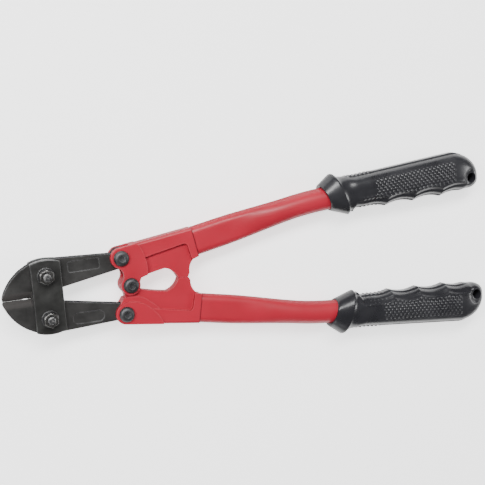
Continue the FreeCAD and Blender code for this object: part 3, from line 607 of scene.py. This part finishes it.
gripShape = {
    "ringPoints": 224,
    "spreadHalf": 11.5,                     # half width of the section they are spread evenly on
    "bore": 7.55,
    "boreEndX": 228.1,
    # place along the grip, offset from the tube's line, half width and half thickness
    "rim": (133.65, 0.55, 9.30, 9.30),
    "crestFront": (143.9, 0.93, 14.80, 10.60),
    "crestBack": (144.7, 0.86, 14.68, 10.55),
    "neck": (149.6, 0.20, 11.9, 9.9),
    "rimRoll": 0.5,
    "guardLean": math.radians(21.0),
    "neckLean": math.radians(13.0),
    "neckRun": 5.0,                         # from the neck to the sleeve
    "firstGroove": 165.7,
    "pitch": 20.75,
    "grooves": 4,
    "backWall": (11.0, 12.18),              # tube's line to the back, at the first and last groove
    "grooveWall": (10.0, 12.8),
    "fingerHeight": 1.9,
    "fingerPower": 1.9,                     # higher is flatter hollows and sharper peaks
    "fingerRun": (156.0, 162.0, 232.0, 238.0),  # places where each detail rises and falls away
    "firstFlank": (160.0, 166.0, 0.35),     # the peak at the guard rises late and starts this low
    "halfThick": 10.25,
    "sleeveRows": 250,
    "endRows": 34,
    "endX": 247.75,
    "noseDrop": 8.2,
    "heel": 8.5,
    "square": {"rim": 2.0, "crest": 2.12, "neck": 2.2, "sleeve": 2.6},  # exponents of the sections
    "spineHalf": 3.1,
    "spineRise": 0.55,
    "spineGroove": 0.45,
    "spineRun": (148.6, 152.6, 229.0, 238.0),
    "innerSpine": 0.9,                      # share of the relief on the finger side
    "innerRib": 0.7,
    "bead": (6.2, 0.9, 0.45),               # distance from the hollows, half width and height
    "beadDitch": (4.2, 1.0, 0.45),
    "beadRun": (152.0, 160.0, 230.0, 238.0),
    "ribPitch": 2.9,
    "ribRise": 0.45,
    "ribFloor": -0.4,
    "backRibs": (148.0, 150.0, 165.0, 169.0),
    "innerRibs": (156.0, 158.0, 170.0, 174.0),
    "knurlRise": 0.62,
    "knurlPitch": (3.0, 3.6),               # along, and across for two rows
    "knurlFrom": 167.5,
    "knurlTo": 226.5,
    "knurlHalf": (-0.52, 0.58),             # of the half width, towards the fingers and the back
    "knurlSoft": (0.6, 0.04),               # fade of the panel's ends and of its sides
    "holeSeat": 7.2,
    "holeFade": (0.6, 3.8),                 # the flat seat ends between these, past the hole's edge
    "holeFlare": 0.37,
    "boreTurn": 180.0,
    "mouthInset": 0.6,
}


def sectionTurns(count, exponent, halfWide, halfThick):
    # angles that put points evenly along a superellipse, from the length of a fine copy of it
    fine = np.linspace(0, fullTurn, 4001)
    power = 2 / exponent
    x = halfWide * np.sign(np.cos(fine)) * np.abs(np.cos(fine)) ** power
    y = halfThick * np.sign(np.sin(fine)) * np.abs(np.sin(fine)) ** power
    length = np.concatenate([[0], np.cumsum(np.hypot(np.diff(x), np.diff(y)))])
    return np.interp(np.arange(count) * length[-1] / count, length, fine)


def guardStations():
    # rows of (outer x, outer y, inner x, inner y, half thickness, exponent) from rim to neck
    shape = gripShape
    rows = []
    lean = shape["guardLean"]
    stops = (("rim", lean, shape["square"]["rim"]), ("crestFront", lean, shape["square"]["crest"]),
             ("crestBack", lean * 0.93, shape["square"]["crest"]),
             ("neck", shape["neckLean"], shape["square"]["neck"]))
    for key, tilt, exponent in stops:
        x, out, halfWide, halfThick = shape[key]
        y = gripLine(x) + out
        rows.append((x - halfWide * math.sin(tilt), y + halfWide * math.cos(tilt),
                     x + halfWide * math.sin(tilt), y - halfWide * math.cos(tilt),
                     halfThick, exponent))
    return np.array(rows)


def sleeveStations(count):
    # the back and the finger side as straight lines; the peaks between the fingers come later
    shape = gripShape
    last = shape["firstGroove"] + (shape["grooves"] - 1) * shape["pitch"]
    x = np.linspace(shape["neck"][0] + shape["neckRun"], last, count)
    share = (x - shape["firstGroove"]) / (last - shape["firstGroove"])
    backFirst, backLast = shape["backWall"]
    innerFirst, innerLast = shape["grooveWall"]
    outer = gripLine(x) + backFirst + (backLast - backFirst) * share
    inner = gripLine(x) - innerFirst - (innerLast - innerFirst) * share
    rows = np.stack([x, outer, x, inner, np.full(count, shape["halfThick"]),
                     np.full(count, shape["square"]["sleeve"])], axis=1)
    return rows, last


def endStations(last, count):
    # the back turns down in a quarter of an ellipse to the nose, and the heel rounds up to meet it
    shape = gripShape
    turn = np.linspace(0, math.pi / 2, count + 1)[1:]
    turn[-1] = math.radians(89.6)
    x = last + (shape["endX"] - last) * np.sin(turn)
    nose = gripLine(shape["endX"]) - shape["noseDrop"]
    outer = nose + (gripLine(last) + shape["backWall"][1] - nose) * np.cos(turn) ** 0.92
    heel = np.clip(1 - (shape["endX"] - x) / shape["heel"], 0, 1)
    inner = nose - (nose - gripLine(last) + shape["grooveWall"][1]) * np.sqrt(1 - heel ** 2)
    thick = shape["halfThick"] * np.cos(turn) ** 0.8
    return np.stack([x, outer, x, inner, thick, np.full(count, shape["square"]["sleeve"])], axis=1)


def fillBetween(first, second, count):
    return first + (second - first) * np.linspace(0, 1, count + 1)[1:, None]


def curveBetween(first, second, share, curved):
    # places change evenly with share; edges, thickness and section follow the curved one
    return first + (second - first) * np.concatenate([share, curved, share, curved, curved, curved],
                                                     axis=1)


def gripStations():
    shape = gripShape
    guard = guardStations()
    sleeve, last = sleeveStations(shape["sleeveRows"])
    rim, crestFront, crestBack, neck = guard
    # the rim's first ring is drawn in along the leaning mouth
    tilt = np.array([0.35, -0.94, -0.35, 0.94])
    lipped = rim.copy()
    lipped[4] -= shape["rimRoll"]
    lipped[:4] += shape["rimRoll"] * tilt
    parts = [lipped[None, :], rim[None, :] + [[0.25, 0, 0.25, 0, 0, 0]],
             fillBetween(rim, crestFront, 18)[1:], fillBetween(crestFront, crestBack, 5)]
    # the step behind the crest falls quickly and then levels into the neck
    share = np.linspace(0, 1, 15)[1:, None]
    parts.append(curveBetween(crestBack, neck, share, 1 - (1 - share) ** 3))
    # a curve from the neck to the sleeve that leaves and arrives smoothly
    share = share[:-1]
    parts.append(curveBetween(neck, sleeve[0], share, ease(share, 0, 1)))
    parts.append(sleeve)
    parts.append(endStations(last, shape["endRows"]))
    return np.concatenate(parts)


def gripReliefs(x, y, z, upright):
    # heights of the spines and ribs, and of the knurl; upright runs from -1 at the fingers to 1 at
    # the back. A spine is a strip with a ditch on each side, ribs are a clipped cosine along the
    # strip, and the knurl is a product of two cosines
    shape = gripShape
    outerSide = ease(upright, 0.2, 0.75)
    innerSide = ease(-upright, 0.2, 0.75)
    fromStrip = np.abs(z) - shape["spineHalf"]
    strip = 1 - ease(fromStrip, -0.3, 0.5)
    ditch = np.exp(-((fromStrip - 1.0) / 0.75) ** 2)
    spine = shape["spineRise"] * strip - shape["spineGroove"] * ditch
    spine = spine * between(x, shape["spineRun"])
    ribs = np.cos((x - shape["neck"][0]) * fullTurn / shape["ribPitch"])
    ribs = shape["ribRise"] * np.maximum(ribs, shape["ribFloor"]) * strip
    backRibs = ribs * between(x, shape["backRibs"])
    innerRibs = ribs * between(x, shape["innerRibs"])
    inPlane = outerSide * (spine + backRibs) \
        - innerSide * (spine * shape["innerSpine"] + innerRibs * shape["innerRib"])
    along, across = shape["knurlPitch"]
    start, end = shape["knurlFrom"], shape["knurlTo"]
    low, high = shape["knurlHalf"]
    softEnd, softSide = shape["knurlSoft"]
    cells = np.cos((x - start) * fullTurn / along) * np.cos((y - gripLine(x)) * fullTurn / across)
    panel = between(x, (start - softEnd, start + softEnd, end - softEnd, end + softEnd)) \
        * between(upright, (low - softSide, low + softSide, high - softSide, high + softSide))
    return inPlane, shape["knurlRise"] * np.maximum(cells, 0) ** 0.8 * panel


def beadRelief(x, y):
    # a bead and a ditch that follow the finger side at set distances from it
    shape = gripShape
    fromEdge = y - y.min(axis=1, keepdims=True)
    bead, ditch = [height * np.exp(-((fromEdge - place) / half) ** 2)
                   for place, half, height in (shape["bead"], shape["beadDitch"])]
    return (bead - ditch) * between(x, shape["beadRun"])


def gripPiece(side, name, body):
    # superellipse sections between an outer and an inner edge, with hollows, spines, ribs and knurl
    shape = gripShape
    stations = gripStations()
    turns = sectionTurns(shape["ringPoints"], shape["square"]["sleeve"], shape["spreadHalf"],
                         shape["halfThick"])
    outer = stations[:, None, 0:2]
    inner = stations[:, None, 2:4]
    power = 2 / stations[:, None, 5]
    cosine, sine = np.cos(turns)[None, :], np.sin(turns)[None, :]
    upright = np.sign(cosine) * np.abs(cosine) ** power
    flatwise = np.sign(sine) * np.abs(sine) ** power
    reach = (outer - inner) / 2
    place = (outer + inner) / 2 + reach * upright[..., None]
    x, y = place[..., 0], place[..., 1]
    z = stations[:, None, 4] * flatwise
    # finger hollows: peaks stand out half way between the hollows, over the inner side only
    phase = (x - shape["firstGroove"]) / shape["pitch"]
    offCentre = np.abs(phase - np.round(phase)) * 2
    flankStart, flankEnd, flankLow = shape["firstFlank"]
    firstPeak = flankLow + (1 - flankLow) * ease(x, flankStart, flankEnd)
    peaks = shape["fingerHeight"] * offCentre ** shape["fingerPower"] * firstPeak
    hollow = peaks * between(x, shape["fingerRun"]) * ease(-upright, 0.05, 0.85)
    inPlane, knurl = gripReliefs(x, y, z, upright)
    halfWide = np.linalg.norm(reach, axis=-1)
    direction = reach / np.maximum(halfWide[..., None], 1e-6)
    x = x + direction[..., 0] * (inPlane - hollow)
    y = y + direction[..., 1] * (inPlane - hollow)
    z = z + np.sign(z) * (knurl + beadRelief(x, y))
    # flat seats around the hole through the end
    holeX, holeY, holeRadius = gripHole
    fadeStart, fadeEnd = shape["holeFade"]
    away = np.hypot(x - holeX, y - holeY)
    seat = 1 - ease(away, holeRadius + fadeStart, holeRadius + fadeEnd)
    tooHigh = np.maximum(np.abs(z) - shape["holeSeat"], 0)
    z = z - np.sign(z) * seat * tooHigh
    rings = np.concatenate([boreRings(turns), np.stack([x, y, z], axis=-1)])
    rings[..., 1] *= side
    mesh = drillHole(ringsToMesh(name, rings), name, side)
    return finishPiece(mesh, name, blackVinyl, body, [name], sharpDegrees=48)


def boreRings(turns):
    # the blind bore for the tube: its end, its wall, and its mouth cut off by the leaning rim
    shape = gripShape
    lean = tubeShape["leanInGrip"]
    bore, boreEnd = shape["bore"], shape["boreEndX"]
    rows = []
    for x, tilt, radius in ((boreEnd, lean, bore * 0.5), (boreEnd, lean, bore),
                            (shape["boreTurn"], lean, bore),
                            (shape["rim"][0] + shape["mouthInset"], shape["guardLean"], bore)):
        wide = radius / math.cos(tilt - lean)
        rows.append(np.stack([x - wide * np.cos(turns) * math.sin(tilt),
                              gripLine(x) + wide * np.cos(turns) * math.cos(tilt),
                              radius * np.sin(turns)], axis=-1))
    return np.array(rows)


def drillHole(mesh, name, side):
    # a round cutter, flared a little where it leaves either face, taken out of the grip
    holeX, holeY, radius = gripHole
    seat, flare = gripShape["holeSeat"], gripShape["holeFlare"]
    upper = np.array([seat - 0.35, seat + 0.02, seat + 6])
    heights = np.concatenate([-upper[::-1], upper])
    radii = radius + np.array([flare, flare, 0.0, 0.0, flare, flare])
    turns = ringAngles(72)
    rings = np.stack([holeX + radii[:, None] * np.cos(turns),
                      side * (holeY + radii[:, None] * np.sin(turns)),
                      heights[:, None] + 0 * turns], axis=-1)
    cutter = bpy.data.objects.new("cutter", ringsToMesh("cutter", rings))
    blank = bpy.data.objects.new("blank", mesh)
    for item in (cutter, blank):
        bpy.context.collection.objects.link(item)
    boolean = blank.modifiers.new("hole", "BOOLEAN")
    boolean.operation = "DIFFERENCE"
    boolean.solver = "EXACT"
    boolean.object = cutter
    bpy.context.view_layer.update()
    depsgraph = bpy.context.evaluated_depsgraph_get()
    drilled = bpy.data.meshes.new_from_object(blank.evaluated_get(depsgraph))
    for item in (cutter, blank):
        bpy.data.objects.remove(item)
    drilled.name = name
    return drilled


# bolts, nuts and washers: rings of points turned about a vertical axis

fastenerShape = {
    "ringPoints": 96,
    "headHigh": 2.75,
    "headEdge": 0.3,                # straight edge under the dome
    "domePower": 0.85,
    "topFlat": 1.32,                # radius of the flat round the socket, in half socket widths
    "socketFlats": 3.5,
    "socketDeep": 1.0,
    "socketPoint": 0.3,             # drilled depth under the socket
    "shank": 2.5,
    "threadPitch": 0.8,
    "threadDeep": 0.22,
    "threadRun": 6.3,               # length of thread at the nut's end
    "threadFade": 0.6,
    "threadRows": 90,
    "nutFlats": 8.0,
    "nutCone": (0.95, 1.75),        # radius at the face in half widths, and run for each mm of height
    "boreGap": 0.06,
    "countersink": (0.45, 0.4),     # how much wider, and how deep
    "washerRoll": 0.3,
}


def hexRadius(turns, flats):
    # distance to the side of a hexagon in each direction, with two corners along Y
    sixth = fullTurn / 6
    return flats / 2 / np.cos((turns + sixth / 2) % sixth - sixth / 2)


def evenRings(rows, turns):
    # rows of (height, radius) as two arrays; a radius may be one number or one for each turn
    heights = np.array([height for height, radius in rows])[:, None] + 0 * turns
    return np.array([radius + 0 * turns for height, radius in rows]), heights


def boltRings(low, high, headRadius):
    # from the bottom of the socket, over a dome that is a power of the cosine, down the shank and
    # round its thread, whose depth is a saw tooth of height and turn
    shape = fastenerShape
    turns = ringAngles(shape["ringPoints"])
    socket = hexRadius(turns, shape["socketFlats"])
    floor = high - shape["socketDeep"]
    rows = [(floor - shape["socketPoint"], 0.2 * socket), (floor, 0.85 * socket), (floor, socket),
            (high - 0.35, socket), (high - 0.12, socket * 1.06)]
    under = high - shape["headHigh"]
    edge = shape["headEdge"]
    flat = shape["socketFlats"] / 2 * shape["topFlat"]
    for angle in np.linspace(0, 1, 15) * math.pi / 2:
        rows.append((under + edge + (shape["headHigh"] - edge) * math.cos(angle) ** shape["domePower"],
                     flat + (headRadius - flat) * math.sin(angle)))
    shank = shape["shank"]
    rows += [(under + 0.12, headRadius - 0.02), (under, headRadius - 0.25), (under, shank)]
    for height in np.linspace(under - 0.5, low + 0.45, shape["threadRows"]):
        ridge = np.abs(((height / shape["threadPitch"] + turns / fullTurn) % 1) * 2 - 1)
        deep = float(ease(low + shape["threadRun"] - height, 0, shape["threadFade"]))
        rows.append((height, shank - shape["threadDeep"] * ridge * deep))
    rows += [(low + 0.25, shank - 0.32), (low, shank - 0.75), (low, shank * 0.3)]
    return *evenRings(rows, turns), turns


def turnedPiece(name, centre, radii, heights, turns, material, slot, body, flip=False,
                closedAlong=False):
    z = 2 * centre[2] - heights if flip else heights
    rings = np.stack([centre[0] + radii * np.cos(turns), centre[1] + radii * np.sin(turns), z],
                     axis=-1)
    return finishPiece(ringsToMesh(name, rings, closedAlong), name, material, body, [name],
                       sharpDegrees=40)


def boltPiece(name, body, headUp):
    low, high = fromBolt(name)
    centre = (low + high) / 2
    radii, heights, turns = boltRings(low[2], high[2], (high[0] - low[0]) / 2)
    return turnedPiece(name, centre, radii, heights, turns, boltSteel, "bolt_steel", body,
                       flip=not headUp)


def nutPiece(name, body):
    # a hexagon cut back by a cone at both ends, with a bore that opens in a short countersink
    shape = fastenerShape
    low, high = fromBolt(name)
    turns = ringAngles(shape["ringPoints"])
    corner = hexRadius(turns, shape["nutFlats"])
    faceShare, slope = shape["nutCone"]
    face = shape["nutFlats"] / 2 * faceShare
    edge = np.concatenate([np.linspace(0, 0.7, 10), np.linspace(0.9, 0.45 * (high[2] - low[2]), 3)])
    bore = shape["shank"] + shape["boreGap"]
    sinkWide, sinkDeep = shape["countersink"]
    mouth = shape["shank"] + sinkWide
    rows = [(low[2] + sinkDeep, bore), (low[2], mouth)]
    rows += [(low[2] + away, np.minimum(corner, face + slope * away)) for away in edge]
    rows += [(high[2] - away, np.minimum(corner, face + slope * away)) for away in edge[::-1]]
    rows += [(high[2], mouth), (high[2] - sinkDeep, bore)]
    return turnedPiece(name, (low + high) / 2, *evenRings(rows, turns), turns, nutSteel, "nut_steel",
                       body, closedAlong=True)


def washerPiece(name, body):
    # a flat ring whose outer edges are rolled over
    low, high = fromBolt(name)
    roll = fastenerShape["washerRoll"]
    bore = fastenerShape["shank"] + fastenerShape["boreGap"]
    inner = (high[0] - low[0]) / 2 - roll
    curl = np.linspace(0, math.pi / 2, 5)
    rows = [(low[2], bore), (low[2], inner)]
    rows += [(low[2] + roll - roll * math.cos(angle), inner + roll * math.sin(angle))
             for angle in curl[1:]]
    rows += [(high[2] - roll + roll * math.sin(angle), inner + roll * math.cos(angle))
             for angle in curl]
    rows += [(high[2], bore)]
    turns = ringAngles(72)
    return turnedPiece(name, (low + high) / 2, *evenRings(rows, turns), turns, washerSteel,
                       "washer_steel", body, closedAlong=True)


# forged and stamped pieces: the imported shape, welded and given rounded edges

# width in millimetres, segments, and the smallest turn in degrees that counts as an edge
edgeRounding = {
    "upper_handle_head": (0.6, 4, 30), "lower_handle_head": (0.6, 4, 30),
    "upper_jaw": (0.3, 3, 65), "lower_jaw": (0.3, 3, 65),
    "front_side_plate": (0.3, 3, 25), "back_side_plate": (0.3, 3, 25),
}


def roundedPiece(name, material, body):
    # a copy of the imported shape, its flat triangles joined into faces, then bevelled
    width, segments, degrees = edgeRounding[name]
    work = bmesh.new()
    work.from_mesh(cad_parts[name].data)
    bmesh.ops.remove_doubles(work, verts=work.verts, dist=1e-6)
    bmesh.ops.dissolve_limit(work, angle_limit=math.radians(0.4), verts=work.verts, edges=work.edges)
    work.verts.ensure_lookup_table()
    points = [vertex.co[:] for vertex in work.verts]
    faces = [[vertex.index for vertex in face.verts] for face in work.faces]
    work.free()
    mesh = bpy.data.meshes.new(name)
    mesh.from_pydata(points, [], faces)
    piece = finishPiece(mesh, name, material, body, [name], sharpDegrees=180)
    bevel = piece.modifiers.new("rounded_edges", "BEVEL")
    bevel.width = width * mm
    bevel.segments = segments
    bevel.limit_method = "ANGLE"
    bevel.angle_limit = math.radians(degrees)
    bevel.use_clamp_overlap = True
    bevel.miter_outer = "MITER_ARC"
    weighted = piece.modifiers.new("even_shading", "WEIGHTED_NORMAL")
    weighted.keep_sharp = False
    return piece


handles = {"upper": ("upper_handle", 1), "lower": ("lower_handle", -1)}
for word, (body, side) in handles.items():
    tubePiece(side, word + "_tube", body)
    gripPiece(side, word + "_grip", body)
    roundedPiece(word + "_handle_head", redPaint, body)
    roundedPiece(word + "_jaw", forgedSteel, word + "_jaw")
    boltPiece(word + "_jaw_bolt", "side_plates", headUp=False)
    nutPiece(word + "_jaw_nut", "side_plates")
    washerPiece(word + "_jaw_washer", "side_plates")
    boltPiece(word + "_tail_bolt", body, headUp=True)
    nutPiece(word + "_tail_nut", body)
boltPiece("centre_bolt", "lower_handle", headUp=True)
nutPiece("centre_nut", "lower_handle")
for word in ("front", "back"):
    roundedPiece(word + "_side_plate", plateSteel, "side_plates")
print("pieces made")


# floor, lights and camera

stage = {
    "floorHalf": 3.0,
    "floorColour": (0.82, 0.82, 0.82),
    "floorGlow": 1.6,               # light of its own, so that the paper reads as white
    "skyColour": (1.0, 1.0, 1.0),
    "skyStrength": 0.22,
    "lights": (
        # name, place, aim, width, height, power
        ("key_light", (-0.20, 0.75, 1.02), (0.0, 0.0, 0.0), 1.0, 0.32, 23.0),
        ("left_light", (-0.95, 0.35, 0.9), (0.0, 0.0, 0.0), 0.5, 0.5, 13.0),
        ("right_light", (1.20, -0.05, 0.72), (0.05, 0.0, 0.0), 0.4, 0.3, 6.0),
        ("low_fill", (-0.5, -0.9, 0.5), (0.0, 0.0, 0.0), 0.8, 0.25, 3.0),
    ),
}
view = {
    "eye": (-130.1, 111.2, 591.0),          # millimetres from the centre bolt
    "target": (75.5, 16.1, 0.0),
    "upward": (0.1270, 0.9853, -0.1143),
    "lens": 74.13,
    "sensor": 36.0,
}


def lookFrom(item, eye, target, upward):
    back = (Vector(eye) - Vector(target)).normalized()
    right = Vector(upward).cross(back).normalized()
    turned = Matrix((right, back.cross(right), back)).transposed().to_4x4()
    item.matrix_world = Matrix.Translation(eye) @ turned


def makeStage():
    half = stage["floorHalf"]
    corners = np.array([(-half, -half, 0), (half, -half, 0), (half, half, 0), (-half, half, 0)])
    mesh = meshFrom("floor", corners, np.array([[0, 1, 2, 3]]))
    floor = bpy.data.objects.new("floor", mesh)
    bpy.context.collection.objects.link(floor)
    material, shader = newMaterial("floor_paper")[:2]
    shader.inputs["Base Color"].default_value = (*stage["floorColour"], 1.0)
    shader.inputs["Roughness"].default_value = 0.9
    shader.inputs["Emission Color"].default_value = (1.0, 1.0, 1.0, 1.0)
    shader.inputs["Emission Strength"].default_value = stage["floorGlow"]
    mesh.materials.append(material)
    world = bpy.data.worlds.new("studio")
    world.use_nodes = True
    sky = world.node_tree.nodes["Background"]
    sky.inputs["Color"].default_value = (*stage["skyColour"], 1.0)
    sky.inputs["Strength"].default_value = stage["skyStrength"]
    bpy.context.scene.world = world
    for name, eye, target, width, height, power in stage["lights"]:
        lamp = bpy.data.lights.new(name, "AREA")
        lamp.shape = "RECTANGLE"
        lamp.size = width
        lamp.size_y = height
        lamp.energy = power
        item = bpy.data.objects.new(name, lamp)
        bpy.context.collection.objects.link(item)
        lookFrom(item, eye, target, (0, 0, 1))


def makeCamera():
    lens = bpy.data.cameras.new("camera")
    lens.lens = view["lens"]
    lens.sensor_width = view["sensor"]
    camera = bpy.data.objects.new("camera", lens)
    bpy.context.collection.objects.link(camera)
    lookFrom(camera, inFrame(view["eye"]), inFrame(view["target"]), view["upward"])
    bpy.context.scene.camera = camera


makeStage()
makeCamera()
print("stage and camera made")

bpy.context.view_layer.update()
